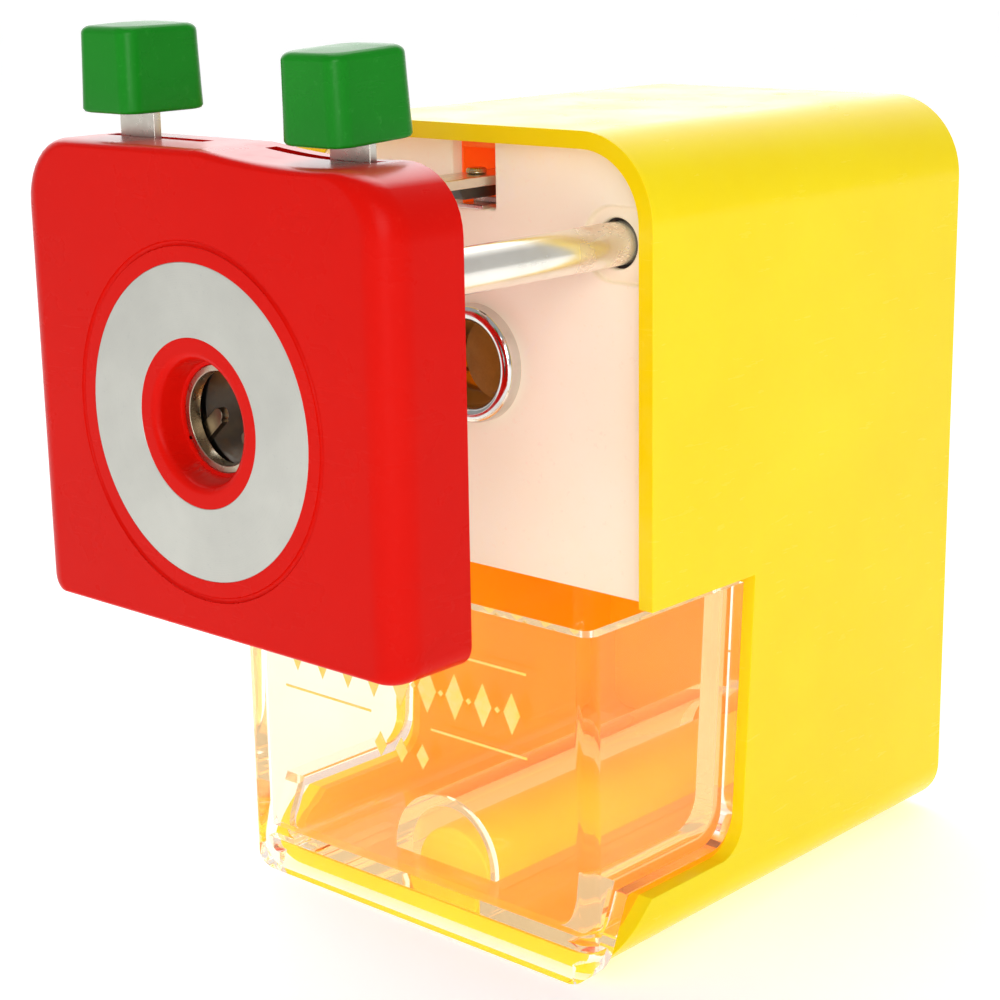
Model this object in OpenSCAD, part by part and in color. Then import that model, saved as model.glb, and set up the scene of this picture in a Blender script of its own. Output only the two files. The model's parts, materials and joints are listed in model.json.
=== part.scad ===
// Desktop rotary pencil sharpener: case with a pull-out chuck plate, planetary
// helical cutter, rear crank and transparent drawer. Millimetres, +Z up, front at -Y,
// origin on the table under the middle of the case.

/* [Case] */
// Width of the case
body_w = 69; // [67:0.5:71]
// Depth of the case, from its front rim to its rear face
body_d = 75; // [74:0.5:77]
// Height of the case's top above the table
body_h = 115; // [114:0.5:117]
// Thickness of the case's wall
wall = 2.4; // [2.2:0.1:2.6]
// Radius of the case's top corners
top_r = 12; // [11:0.5:13]
// Radius of the case's bottom corners
bottom_r = 7; // [6:0.5:7.5]
// Height of the rubber feet
foot_h = 1; // [0.8:0.1:1.2]

/* [Side windows] */
// Height of the windows' top edge
window_top = 51.6; // [51.4:0.1:52.4]
// Height of the windows' lower edge
window_low = 10.2; // [10:0.1:10.6]
// Depth of the windows behind the front rim, at their top
window_d = 23.4; // [22:0.2:24]
// How far the windows' rear edge leans forward at the bottom
window_lean = 2.6; // [2:0.2:3]
// How far the base reaches in front of the rim
lip = 8; // [7:0.2:8.2]

/* [Front panel] */
// How far the panel lies behind the rim
panel_back = 3.5; // [3:0.1:4]
// Height of the panel's bottom edge
panel_bottom = 51.3; // [51.2:0.1:51.4]
// Width of the notch for the catch strip
notch_w = 8; // [7.6:0.2:8.4]
// Height of the notch's floor
notch_z = 103; // [102.6:0.2:103.2]

/* [Pencil axis] */
// Height of the pencil's axis
bore_z = 81.2; // [81:0.1:81.4]
// Inner radius of the ferrule
ferrule_r = 6.2; // [6:0.1:6.4]

/* [Face plate] */
// Thickness of the face plate
plate_d = 13.2; // [13:0.1:13.6]
// Gap between the pulled-out face plate and the case's rim
plate_out = 34.9; // [30:0.1:35]
// Height of the face plate's bottom edge
plate_bottom = 53.1; // [52.8:0.1:53.6]
// Height of the face plate's top edge
plate_top = 115.4; // [115:0.1:116]
// Radius of the trim disc
disc_r = 20.35; // [19:0.05:20.8]
// Radius of the hole in the trim disc
disc_hole_r = 10.9; // [10.5:0.1:11.2]

/* [Guide tubes] */
// Distance of each guide tube from the middle
tube_x = 24.8; // [24.4:0.1:25.2]
// Height of the guide tubes
tube_z = 99.9; // [99.4:0.1:100.2]
// Outer radius of the guide tubes
tube_r = 2.95; // [2.8:0.05:3.05]

/* [Chuck levers] */
// Distance of the left lever's tab from the middle
left_x = 18.3; // [18:0.1:19.6]
// Distance of the right lever's tab from the middle
right_x = 19.5; // [18:0.1:19.6]
// Width of the tabs
lever_w = 6.9; // [6:0.1:7.2]
// Height of the underside of the left knob
left_knob_z = 118.7; // [117.5:0.1:121]
// Height of the underside of the right knob
right_knob_z = 116.6; // [116.4:0.1:121]

/* [Drawer] */
// How far the drawer's front stands in front of the rim
drawer_out = 12.7; // [12.4:0.1:13]
// Height of the drawer's top edge
drawer_top = 51; // [50:0.1:51]
// Thickness of the drawer's walls
drawer_wall = 2.2; // [2:0.1:2.4]

/* [Cutter] */
// Angle between the cutter's axis and the pencil's axis
tilt = 11; // [10.5:0.1:11.5]
// Pitch radius of the cutter's pinion
pinion_r = 5.6; // [5.5:0.05:5.6]

/* [Crank] */
// Length of the crank, centre to centre
crank_len = 48; // [40:1:52]

/* [Hidden] */
$fn = 64;
eps = 1;                                     // overshoot of a cut past the face it opens

yellow = [0.98, 0.84, 0.05];
cream = [0.97, 0.92, 0.84];
orange = [0.97, 0.50, 0.08];
red = [0.86, 0.10, 0.07];
green = [0.10, 0.52, 0.18];
silver = [0.76, 0.77, 0.76];
steel = [0.62, 0.60, 0.56];
dark = [0.20, 0.19, 0.18];

// Case
front_y = -body_d / 2;
rear_y = body_d / 2;
base_z = foot_h;
inner_w = body_w - 2 * wall;
inner_top = body_h - wall;
inner_low = base_z + wall;
inner_top_r = top_r - wall;
inner_low_r = bottom_r - wall;
window_r = 5;
cover_y = rear_y - wall;                     // inner face of the rear cover
panel_y = front_y + panel_back;
panel_t = 2.3;
frame_t = 2.2;
frame_y = panel_y + panel_t;                 // front face of the gear frame
frame_back_y = 27;                           // front face of its rear bulkhead
deck_z = 54;
screw_x = 26;
screw_low_z = 40;
screw_top_z = 104;
screw_r = 1.5;

// Drawer bay
liner_t = 1.4;
clamp_r = 7.2;
clamp_z = inner_low + 1.8;                   // centre of the hump over the clamp's bar
clamp_front_y = front_y - 1.8;
clamp_bore_r = 2.7;
clamp_bore_z = inner_low + 2.8;

// Catch
strip_w = 6.4;
strip_low = 106.3;
strip_t = 1.4;
strip_foot = 4.6;                            // height of its foot on the face plate
strip_end_y = front_y + 28;
rivet_y = front_y + 4.2;
dog_y = front_y - 2;
dog_l = 7.6;
dog_z = strip_low - 1.6;                    // underside of the dog
housing_t = 1.5;

// Drawer
drawer_half = body_w / 2 - 0.4;
tray_y = front_y - drawer_out;
tray_low = inner_low + liner_t + 0.5;
skirt_z = foot_h - 0.2;
skirt_r = 4.5;
hump_r = 10;
hump_z = 8.1;                                // centre of the drawer's hump

// Face plate
plate_rear_y = front_y - plate_out;
plate_y = plate_rear_y - plate_d;
plate_t = 2.4;
plate_top_r = 9.5;
plate_low_r = 3;
back_t = 1.6;
back_y = plate_rear_y - back_t;
disc_t = 0.6;
funnel_d = 3.8;
funnel_mouth_r = disc_hole_r - 2.3;
funnel_r = 7.2;
groove_r = 22.7;
post_x = 28;
post_r = 3;
post_low_z = plate_bottom + 6.4;
post_top_z = 106;
post_bore_r = 1.25;
tube_wall = 0.65;
tube_end_y = front_y + 27.1;
tube_cap = 1.5;
bush_r = 4.2;
bush_l = 7;
spring_r = 1.5;

// Chuck
hub_r = 8.2;
lever_ring_r = 12.4;
run = 0.06;                                  // radial clearance of a running fit
lever_t = 1.2;
left_y = back_y - 3.8;                       // front face of the left lever
right_y = left_y + lever_t + 0.2;            // front face of the right lever
slot_y = 0.4;                                // clearance each side of a lever in its slot
claw_y = left_y - 1.6;
claw_t = 1.2;
claw_ring_r = 9.5;                           // radius on which the claws' pins stand
claw_pin_r = 0.9;
claw_len = 7.5;
claw_rest = 12;                              // angle of a closed claw off its radius
base_t = 1;
chuck_y = claw_y - 0.4 - base_t;
cup_r = 6.1;
knob_w = 10.4;
knob_d = 12.9;
knob_h = 11.2;
knob_grip = 8;                               // length of tab inside the knob

// Cutter and ring gear
pinion_teeth = 10;
ring_teeth = 3 * pinion_teeth;
ring_r = 3 * pinion_r;
pinion_off = ring_r - pinion_r * cos(tilt);  // pinion's centre from the pencil's axis
pinion_y = -26;
pinion_w = 3;
addendum = 0.8;
dedendum = 1.2;
mesh_y = pinion_y + pinion_r * sin(tilt);    // where the pinion meets the ring
ring_outer_r = ring_r + 3.2;
ring_w = 3.3;
axle_r = 1.5;
cutter_r = 6;
cutter_core_r = 5.3;
cutter_start = 7.1;
cutter_end = 27.5;
ridges = 14;
carrier_r = 15;
carrier_front_y = -22.8;
carrier_rear_y = 3.5;
carrier_t = 2;
rail_r = 1.8;
rail_off = 12.4;
pencil_gap_r = 4.6;

// Crank
shaft_r = 3;
shaft_y = 5;
hub_end_y = 12;
bush_y = frame_back_y - 1;
bush_outer_r = 6;
arm_y = rear_y + 2.9;
arm_t = 2;
boss_t = 4;
nut_t = 3.5;
spindle_r = 2;
handle_z = bore_z - crank_len;
handle_y = arm_y + arm_t + 0.8;
handle_end_y = -plate_y;
handle_r = 8;
handle_neck_r = 6;
handle_round = 6.4;

// Stretches a 2-D outline, drawn as seen from the front, from y0 to y1.
module along_y(y0, y1) {
    translate([0, y1, 0]) rotate([90, 0, 0]) linear_extrude(y1 - y0) children();
}

// Stretches a 2-D side outline, drawn as (y, z), from x0 to x1.
module along_x(x0, x1) {
    translate([x0, 0, 0]) rotate([90, 0, 90]) linear_extrude(x1 - x0) children();
}

// A round bar along Y.
module rod(r, y0, y1, x = 0, z = bore_z) {
    translate([x, y0, z]) rotate([-90, 0, 0]) cylinder(r = r, h = y1 - y0);
}

// A 2-D outline drawn as (radius, y), turned about the pencil's axis.
module turned(x = 0, z = bore_z) {
    translate([x, 0, z]) rotate([-90, 0, 0]) rotate_extrude() children();
}

// Front outline with its own corner radii at the top and the bottom.
module outline(w, low, top, rt, rb) {
    translate([-w / 2, low + rb]) square([w, top - rt - low - rb]);
    translate([-w / 2 + rb, low]) square([w - 2 * rb, rb + eps]);
    translate([-w / 2 + rt, top - rt - eps]) square([w - 2 * rt, rt + eps]);
    for (side = [-1, 1]) {
        translate([side * (w / 2 - rb), low + rb]) circle(rb);
        translate([side * (w / 2 - rt), top - rt]) circle(rt);
    }
}

module inner_outline(low = inner_low, low_r = inner_low_r) {
    outline(inner_w, low, inner_top, inner_top_r, low_r);
}

// Rear edge of a side window at height z.
function window_edge(z, inset) =
    front_y + window_d - inset - window_lean * (window_top - z) / (window_top - window_low);

// Side outline of a window, drawn inset from the window's own edge.
module side_window(inset = 0, from_y = front_y - 10, top = window_top) {
    low = window_low + inset;
    corner_z = low + window_r;
    corner_y = window_edge(corner_z, inset) - window_r;
    polygon([
        [from_y, corner_z], [window_edge(corner_z, inset), corner_z],
        [window_edge(top, inset), top], [from_y, top]
    ]);
    translate([from_y, low]) square([corner_y - from_y, window_r]);
    translate([corner_y, corner_z]) circle(window_r);
}

// Side outline of what is cut away in front of the rim, above the sloping lip.
module rim_cut() {
    polygon([
        [front_y, body_h + eps], [front_y, window_low],
        [front_y - lip + 0.5, inner_low + 0.2], [front_y - lip - eps, inner_low + 0.2],
        [front_y - lip - eps, body_h + eps]
    ]);
}

module side_cuts() {
    along_x(-body_w, body_w) {
        side_window();
        rim_cut();
    }
}

// Outline of the clamp socket.
module clamp_outline() {
    intersection() {
        translate([0, clamp_z]) circle(clamp_r);
        translate([-clamp_r, inner_low]) square([2 * clamp_r, 2 * clamp_r]);
    }
}

// ---- Case ----

module outer_shell() {
    color(yellow) difference() {
        along_y(front_y - lip, rear_y) outline(body_w, base_z, body_h, top_r, bottom_r);
        along_y(front_y - lip - eps, rear_y + eps) inner_outline();
        side_cuts();
    }
}

module rear_cover() {
    color(yellow) difference() {
        along_y(cover_y, rear_y) inner_outline();
        along_y(cover_y - eps, rear_y + eps) clamp_outline();
        rod(bush_outer_r, cover_y - eps, rear_y + eps);
        case_screw_places() rod(screw_r, cover_y - eps, rear_y + eps, 0, 0);
    }
}

module front_panel() {
    pocket_r = 5.1;
    color(cream) difference() {
        along_y(panel_y, frame_y) inner_outline(panel_bottom, eps);
        along_y(panel_y - eps, frame_y + eps)
            translate([-notch_w / 2, notch_z]) square([notch_w, body_h - notch_z]);
        rod(ferrule_r + 0.8, panel_y - eps, frame_y + eps);
        for (side = [-1, 1]) {
            rod(tube_r + 0.5, panel_y - eps, frame_y + eps, side * tube_x, tube_z);
            rod(pocket_r, panel_y - eps, panel_y + 1, side * tube_x, tube_z);
            translate([side * (tube_x + pocket_r), panel_y, tube_z])
                cube([2 * pocket_r, 2, 2 * pocket_r], center = true);
        }
    }
}

module bay_liner() {
    color(orange) difference() {
        along_y(front_y - lip + 1, cover_y)
            outline(inner_w, inner_low, panel_bottom - 0.1, eps, inner_low_r);
        along_y(front_y - lip, cover_y - liner_t)
            outline(inner_w - 2 * liner_t, inner_low + liner_t, body_h, eps,
                    inner_low_r - liner_t);
        side_cuts();
        along_y(clamp_front_y, rear_y) clamp_outline();
        case_screw_places() rod(screw_r, cover_y - 3, rear_y, 0, 0);
    }
}

// Hump on the base, with the bore for a bench clamp's bar.
module clamp_socket() {
    color(orange) difference() {
        along_y(clamp_front_y, rear_y) clamp_outline();
        rod(clamp_bore_r, front_y + 22, rear_y + eps, 0, clamp_bore_z);
    }
}

// Deck over the drawer with a chute for the shavings, between two bulkheads.
module gear_frame() {
    color(orange) difference() {
        union() {
            translate([-inner_w / 2, frame_y, deck_z])
                cube([inner_w, frame_back_y + frame_t - frame_y, frame_t]);
            along_y(frame_y, frame_y + frame_t) inner_outline(deck_z, eps);
            along_y(frame_back_y, frame_back_y + frame_t) inner_outline(deck_z, eps);
            for (side = [-1, 1])
                rod(post_r, frame_back_y, cover_y, side * screw_x, screw_top_z);
        }
        translate([-carrier_r, -20, deck_z - eps]) cube([2 * carrier_r, 24, 2 * frame_t]);
        translate([-notch_w / 2 - housing_t, frame_y - eps, notch_z - housing_t])
            cube([notch_w + 2 * housing_t, 2 * frame_t, body_h - notch_z]);
        rod(ferrule_r + 0.8, frame_y - eps, 0);
        rod(bush_outer_r, 0, cover_y);
        for (side = [-1, 1]) {
            rod(bush_r, frame_y - eps, 0, side * tube_x, tube_z);
            rod(screw_r, cover_y - 4, rear_y, side * screw_x, screw_top_z);
        }
    }
}

// Guide for the catch strip, open at both ends, seen through the panel's notch.
module latch_housing() {
    color(red) along_y(frame_y, frame_y + 16) difference() {
        translate([-notch_w / 2 - housing_t, notch_z - housing_t])
            square([notch_w + 2 * housing_t, inner_top - notch_z + housing_t]);
        translate([-notch_w / 2, notch_z])
            square([notch_w, inner_top - housing_t - notch_z]);
    }
}

// Leaf spring on the floor of the notch, with a nib just behind the pulled-out dog.
module catch_leaf() {
    leaf_y = panel_y - 0.8;
    leaf_t = 0.6;
    nib_y = dog_y + dog_l + 0.4;
    color(steel) along_x(-2.4, 2.4) polygon([
        [leaf_y, notch_z], [leaf_y, notch_z + leaf_t], [nib_y, notch_z + leaf_t],
        [nib_y, dog_z - 0.3], [nib_y + 0.8, dog_z - 0.3], [nib_y + 2, notch_z + leaf_t],
        [frame_y + 14, notch_z + leaf_t], [frame_y + 14, notch_z]
    ]);
}

module pencil_ferrule() {
    rim_r = 1.15;
    rim_y = front_y + 2.05;
    color(silver) turned() {
        translate([ferrule_r + rim_r, rim_y]) circle(rim_r);
        translate([ferrule_r, rim_y]) square([2 * rim_r, panel_y - rim_y]);
        translate([ferrule_r, rim_y]) square([0.8, frame_y + frame_t - rim_y]);
    }
}

module ring_gear() {
    color(cream) translate([0, 0, bore_z]) {
        along_y(frame_y + frame_t, mesh_y + ring_w / 2) difference() {
            circle(ring_outer_r);
            circle(ring_r + dedendum);
        }
        along_y(mesh_y - ring_w / 2, mesh_y + ring_w / 2) for (i = [0 : ring_teeth - 1])
            rotate(i * 360 / ring_teeth - 90) polygon([
                [ring_r - addendum, -0.4], [ring_r + dedendum + 0.3, -0.85],
                [ring_r + dedendum + 0.3, 0.85], [ring_r - addendum, 0.4]
            ]);
    }
}

module rear_bush() {
    color(steel) turned() {
        translate([shaft_r + run, bush_y])
            square([bush_outer_r - shaft_r - run, arm_y - 0.4 - bush_y]);
        translate([shaft_r + run, rear_y]) square([5, 1.4]);
    }
}

module guide_bush(side) {
    color(dark) difference() {
        rod(bush_r, frame_y, frame_y + bush_l, side * tube_x, tube_z);
        rod(tube_r + run, frame_y - eps, frame_y + bush_l + eps, side * tube_x, tube_z);
    }
}

// Extension spring inside a guide tube, hooked to the rear bulkhead.
module return_spring(side) {
    color(steel) rod(spring_r, plate_y + plate_t + tube_cap + 0.2, frame_back_y,
                     side * tube_x, tube_z);
}

module case_screw_places() {
    for (side = [-1, 1])
        for (z = [screw_low_z, screw_top_z]) translate([side * screw_x, 0, z]) children();
}

module case_screws() {
    color(steel) case_screw_places() {
        rod(screw_r, cover_y - 3, rear_y, 0, 0);
        rod(2.7, rear_y, rear_y + 1.5, 0, 0);
    }
}

module rubber_feet() {
    color(dark) for (x = [-22.5, 22.5])
        for (y = [-28, 28]) translate([x, y, 0]) cylinder(r = 4.5, h = foot_h);
}

// ---- Face plate ----

module lever_slot(side, y) {
    translate([side > 0 ? 5 : -24.2, y - slot_y, plate_top - plate_t - eps])
        cube([19.2, lever_t + 2 * slot_y, plate_t + 2 * eps]);
}

module face_plate() {
    dip_r = 112;
    dip_x = 19;
    color(red) difference() {
        union() {
            difference() {
                along_y(plate_y, plate_rear_y)
                    outline(body_w, plate_bottom, plate_top, plate_top_r, plate_low_r);
                along_y(plate_y + plate_t, plate_rear_y + eps) face_inner();
            }
            rod(13.5, plate_y + eps, chuck_y);
            face_post_places() rod(post_r, plate_y + eps, back_y, 0, 0);
        }
        turned() translate([disc_hole_r, plate_y - eps])
            square([disc_r - disc_hole_r, disc_t + eps]);
        turned() polygon([
            [0, plate_y - eps], [funnel_mouth_r, plate_y - eps], [funnel_mouth_r, plate_y],
            [funnel_r, plate_y + funnel_d], [cup_r + 0.9, plate_y + funnel_d],
            [cup_r + 0.9, chuck_y + eps], [0, chuck_y + eps]
        ]);
        turned() translate([groove_r, plate_y]) circle(0.35);
        face_post_places() rod(post_bore_r, back_y - 6, back_y + eps, 0, 0);
        lever_slot(-1, left_y);
        lever_slot(1, right_y);
        rod(dip_r, plate_y - eps, plate_rear_y + eps, dip_x, plate_top - 1.2 + dip_r);
    }
}

module face_inner() {
    outline(body_w - 2 * plate_t, plate_bottom + plate_t, plate_top - plate_t,
            plate_top_r - plate_t, eps);
}

module face_post_places() {
    for (side = [-1, 1])
        for (z = [post_low_z, post_top_z]) translate([side * post_x, 0, z]) children();
}

module face_back_plate() {
    color(red) difference() {
        along_y(back_y, plate_rear_y) face_inner();
        rod(hub_r, back_y - eps, plate_rear_y + eps);
        for (side = [-1, 1])
            rod(tube_r, back_y - eps, plate_rear_y + eps, side * tube_x, tube_z);
        face_post_places() rod(post_bore_r, back_y - eps, plate_rear_y + eps, 0, 0);
    }
}

module trim_disc() {
    color(silver) turned()
        translate([disc_hole_r, plate_y]) square([disc_r - disc_hole_r, disc_t]);
}

module bore_cup() {
    lip_y = plate_y + funnel_d + 0.2;
    color(steel) turned() {
        translate([cup_r, lip_y]) square([0.9, 0.7]);
        translate([cup_r, lip_y]) square([0.5, chuck_y + base_t - lip_y]);
    }
}

module chuck_base() {
    color(steel) {
        turned() translate([cup_r + 0.5, chuck_y]) square([6.4, base_t]);
        for (i = [0 : 2]) rotate_about_bore(120 * i)
            rod(claw_pin_r, chuck_y, claw_y + claw_t, 0, claw_ring_r);
    }
}

// Turns children, drawn about the Y axis, round the bore.
module rotate_about_bore(a) {
    translate([0, 0, bore_z]) rotate([0, a, 0]) children();
}

module claw(i) {
    color(silver) rotate_about_bore(120 * i) translate([0, 0, claw_ring_r])
        along_y(claw_y, claw_y + claw_t) rotate(-90 + claw_rest) difference() {
            union() {
                circle(1.9);
                translate([0, -1.2]) square([claw_len - 0.9, 2.1]);
                translate([claw_len - 0.9, 0]) circle(0.9);
            }
            circle(claw_pin_r + run);
        }
}

module chuck_hub() {
    hub_front_y = claw_y + claw_t + 0.2;
    color(steel) turned() {
        translate([hub_r - 1.1, hub_front_y]) square([1.1, plate_rear_y - hub_front_y + 0.8]);
        translate([hub_r - 1.1, plate_rear_y]) square([3.2, 0.8]);
    }
}

module lever_spring() {
    color(steel) turned() translate([hub_r + 1.4, back_y - 0.65]) circle(0.35);
}

module guide_tube(side) {
    tube_y = plate_y + plate_t;
    color(silver) difference() {
        rod(tube_r, tube_y, tube_end_y, side * tube_x, tube_z);
        rod(tube_r - tube_wall, tube_y + tube_cap, tube_end_y + eps, side * tube_x, tube_z);
    }
}

module slide_strip() {
    color(silver) along_x(-strip_w / 2, strip_w / 2) {
        translate([plate_rear_y, strip_low]) square([strip_end_y - plate_rear_y, strip_t]);
        translate([plate_rear_y, strip_low]) square([1, strip_foot]);
    }
}

// Block riveted under the strip, which the catch leaf holds.
module catch_dog() {
    color(dark) along_x(-2.4, 2.4) polygon([
        [dog_y, strip_low], [dog_y + 1, dog_z], [dog_y + dog_l, dog_z],
        [dog_y + dog_l, strip_low]
    ]);
}

module strip_rivet() {
    color(dark) translate([0, rivet_y, strip_low + strip_t]) cylinder(r = 1.5, h = 0.9);
}

module face_screws() {
    color(steel) face_post_places() {
        rod(post_bore_r, back_y - 5, plate_rear_y, 0, 0);
        rod(2.2, plate_rear_y, plate_rear_y + 1, 0, 0);
    }
}

// ---- Levers ----

// Lever for the right side: a ring round the hub and an arm bent up to its tab.
module lever(y, tab_x, tab_top) {
    reach = tab_x - lever_w / 2;
    color(steel) difference() {
        union() {
            rod(lever_ring_r, y, y + lever_t);
            along_y(y, y + lever_t) translate([0, bore_z]) polygon([
                [3, 7], [9, 24], [reach, 29], [reach, tab_top - bore_z],
                [reach + lever_w, tab_top - bore_z], [reach + lever_w, 27], [16, 21], [9, 3]
            ]);
        }
        rod(hub_r + run, y - eps, y + lever_t + eps);
    }
}

module lever_left() {
    mirror([1, 0, 0]) lever(left_y, left_x, left_knob_z + knob_grip);
}

module lever_right() {
    lever(right_y, right_x, right_knob_z + knob_grip);
}

// Finger knob pressed on a lever's tab.
module knob(x, z, tab_y) {
    round_r = 1.6;
    mid_y = left_y + lever_t;
    color(green) difference() {
        translate([x, mid_y, z]) linear_extrude(knob_h) {
            square([knob_w - 2 * round_r, knob_d], center = true);
            square([knob_w, knob_d - 2 * round_r], center = true);
            for (i = [-1, 1])
                for (j = [-1, 1])
                    translate([i * (knob_w / 2 - round_r), j * (knob_d / 2 - round_r)])
                        circle(round_r);
        }
        translate([x - lever_w / 2, tab_y, z - eps]) cube([lever_w, lever_t, knob_grip + eps]);
    }
}

module knob_left() {
    knob(-left_x, left_knob_z, left_y);
}

module knob_right() {
    knob(right_x, right_knob_z, right_y);
}

// ---- Cutter ----

// Places children drawn along Z on the cutter's axis, with +Y towards the ring gear.
module on_cutter_axis() {
    translate([0, pinion_y, bore_z - pinion_off]) rotate([tilt - 90, 0, 0]) children();
}

module cutter_carrier() {
    color(dark) difference() {
        union() {
            rod(carrier_r, carrier_front_y, carrier_front_y + carrier_t);
            rod(carrier_r, carrier_rear_y, carrier_rear_y + carrier_t + 0.5);
            rod(bush_outer_r, carrier_rear_y, hub_end_y);
            for (side = [-1, 1]) rotate_about_bore(60 * side)
                rod(rail_r, carrier_front_y, carrier_rear_y + carrier_t, 0, rail_off);
        }
        rod(pencil_gap_r, carrier_front_y - eps, 0);
        rod(shaft_r, shaft_y, hub_end_y + eps);
        on_cutter_axis() cylinder(r = axle_r + run, h = 33);
    }
}

module cutter_axle() {
    color(steel) on_cutter_axis() translate([0, 0, -1.9]) cylinder(r = axle_r, h = 34.1);
}

module cutter_pinion() {
    color(silver) on_cutter_axis() translate([0, 0, -pinion_w / 2])
        linear_extrude(pinion_w) difference() {
            union() {
                circle(pinion_r - dedendum);
                for (i = [0 : pinion_teeth - 1])
                    rotate((i + 0.5) * 360 / pinion_teeth + 90) polygon([
                        [pinion_r - dedendum - 0.3, -1], [pinion_r + addendum, -0.4],
                        [pinion_r + addendum, 0.4], [pinion_r - dedendum - 0.3, 1]
                    ]);
            }
            circle(axle_r);
        }
}

module helical_cutter() {
    color(steel) on_cutter_axis() translate([0, 0, cutter_start])
        linear_extrude(cutter_end - cutter_start) difference() {
            union() {
                circle(cutter_core_r);
                for (i = [0 : ridges - 1])
                    rotate(i * 360 / ridges) polygon([
                        [cutter_core_r - 0.3, -0.7], [cutter_r, 0], [cutter_core_r - 0.3, 0.5]
                    ]);
            }
            circle(axle_r);
        }
}

// ---- Crank ----

module crank_shaft() {
    color(steel) rod(shaft_r, shaft_y, arm_y + boss_t + nut_t - 1);
}

module crank_arm() {
    color(silver) difference() {
        union() {
            along_y(arm_y, arm_y + arm_t) {
                translate([-5, handle_z]) square([10, crank_len]);
                translate([0, handle_z]) circle(5);
            }
            rod(6.5, arm_y, arm_y + boss_t);
        }
        rod(shaft_r, arm_y - eps, arm_y + boss_t + eps);
        rod(spindle_r, arm_y - eps, arm_y + arm_t + eps, 0, handle_z);
    }
}

module crank_nut() {
    color(silver) along_y(arm_y + boss_t, arm_y + boss_t + nut_t) translate([0, bore_z])
        difference() {
            circle(4.8, $fn = 6);
            circle(shaft_r);
        }
}

module handle_spindle() {
    color(steel) rod(spindle_r, arm_y, handle_end_y - 4, 0, handle_z);
}

module handle_knob() {
    swell_y = handle_end_y - handle_round;
    color(green) difference() {
        turned(0, handle_z) {
            polygon([
                [0, handle_y], [handle_neck_r, handle_y],
                [handle_r, swell_y], [0, swell_y]
            ]);
            translate([0, swell_y]) square([handle_r - handle_round, handle_round]);
            intersection() {
                translate([handle_r - handle_round, swell_y]) circle(handle_round);
                translate([0, swell_y]) square([handle_r, handle_round]);
            }
        }
        rod(spindle_r + run, handle_y - eps, handle_end_y - 3.5, 0, handle_z);
    }
}

// ---- Drawer ----

// Rear edge of the drawer's front skirt at height z.
function skirt_edge(z) = front_y - 9.9 + 5 * (z - skirt_z) / (window_low + drawer_wall - skirt_z);

// Box with the drawer's side wings, drawn inset by t from its own outer faces.
module drawer_wide(t, low_z, edge_r, low_r) {
    half = drawer_half - t;
    face_y = tray_y + t;
    sill_z = window_low + drawer_wall + t;
    intersection() {
        along_x(-half, half) {
            side_window(drawer_wall + t, face_y, drawer_top + t);
            polygon([
                [face_y, low_z], [skirt_edge(low_z) - t, low_z],
                [skirt_edge(sill_z) - t, sill_z], [skirt_edge(sill_z) - t, 20], [face_y, 20]
            ]);
        }
        linear_extrude(body_h) {
            translate([-half, face_y + edge_r]) square([2 * half, body_d]);
            translate([-half + edge_r, face_y]) square([2 * (half - edge_r), body_d]);
            for (side = [-1, 1])
                translate([side * (half - edge_r), face_y + edge_r]) circle(edge_r);
        }
        along_y(face_y, rear_y) outline(2 * half, low_z, body_h, eps, low_r);
    }
}

// Outline of the drawer's hump over the clamp's own, or of the space under it.
module hump_outline(r, low_z) {
    intersection() {
        union() {
            translate([0, hump_z]) circle(r);
            translate([-r, hump_z - 2 * r]) square([2 * r, 2 * r]);
        }
        translate([-r, low_z]) square([2 * r, 4 * r]);
    }
}

// Outline of the space under the floor, behind the skirt.
module skirt_space() {
    half = drawer_half - skirt_r;
    intersection() {
        union() {
            translate([-half, -eps]) square([2 * half, tray_low + eps]);
            for (side = [-1, 1])
                translate([side * half, skirt_z + skirt_r]) circle(skirt_r - drawer_wall);
        }
        translate([-half - skirt_r, -eps]) square([2 * (half + skirt_r), tray_low + eps]);
    }
}

module drawer() {
    tray_w = inner_w - 2 * liner_t - 1;
    floor_z = tray_low + drawer_wall;
    tray_rear_y = front_y + 62;
    hump_y = front_y - 4.5;
    color([0.95, 0.93, 0.88, 0.45]) difference() {
        union() {
            difference() {
                union() {
                    drawer_wide(0, skirt_z, 2, skirt_r);
                    along_y(tray_y + 1.4, tray_rear_y)
                        outline(tray_w, tray_low, drawer_top, eps, 3);
                }
                drawer_wide(drawer_wall, floor_z, 1.5, 1.5);
                along_y(tray_y + drawer_wall + 0.8, tray_rear_y - drawer_wall)
                    outline(tray_w - 2 * drawer_wall, floor_z, body_h, eps, 2);
                along_y(tray_y + drawer_wall, front_y) skirt_space();
            }
            along_y(hump_y, tray_rear_y) hump_outline(hump_r, tray_low);
        }
        along_y(hump_y + drawer_wall, tray_rear_y + eps)
            hump_outline(hump_r - drawer_wall, 0);
    }
}

outer_shell();
rear_cover();
front_panel();
bay_liner();
clamp_socket();
gear_frame();
latch_housing();
catch_leaf();
pencil_ferrule();
ring_gear();
rear_bush();
guide_bush(-1);  // guide_bush_left
guide_bush(1);  // guide_bush_right
return_spring(-1);  // return_spring_left
return_spring(1);  // return_spring_right
case_screws();
rubber_feet();
face_plate();
face_back_plate();
trim_disc();
bore_cup();
chuck_base();
chuck_hub();
lever_spring();
guide_tube(-1);  // guide_tube_left
guide_tube(1);  // guide_tube_right
slide_strip();
catch_dog();
strip_rivet();
face_screws();
lever_left();
knob_left();
lever_right();
knob_right();
claw(0);  // claw_top
claw(1);  // claw_right
claw(2);  // claw_left
cutter_carrier();
crank_shaft();
crank_arm();
crank_nut();
handle_spindle();
handle_knob();
cutter_axle();
cutter_pinion();
helical_cutter();
drawer();
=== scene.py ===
import json
import math

import bmesh
import bpy
from mathutils import Matrix, Vector


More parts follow.
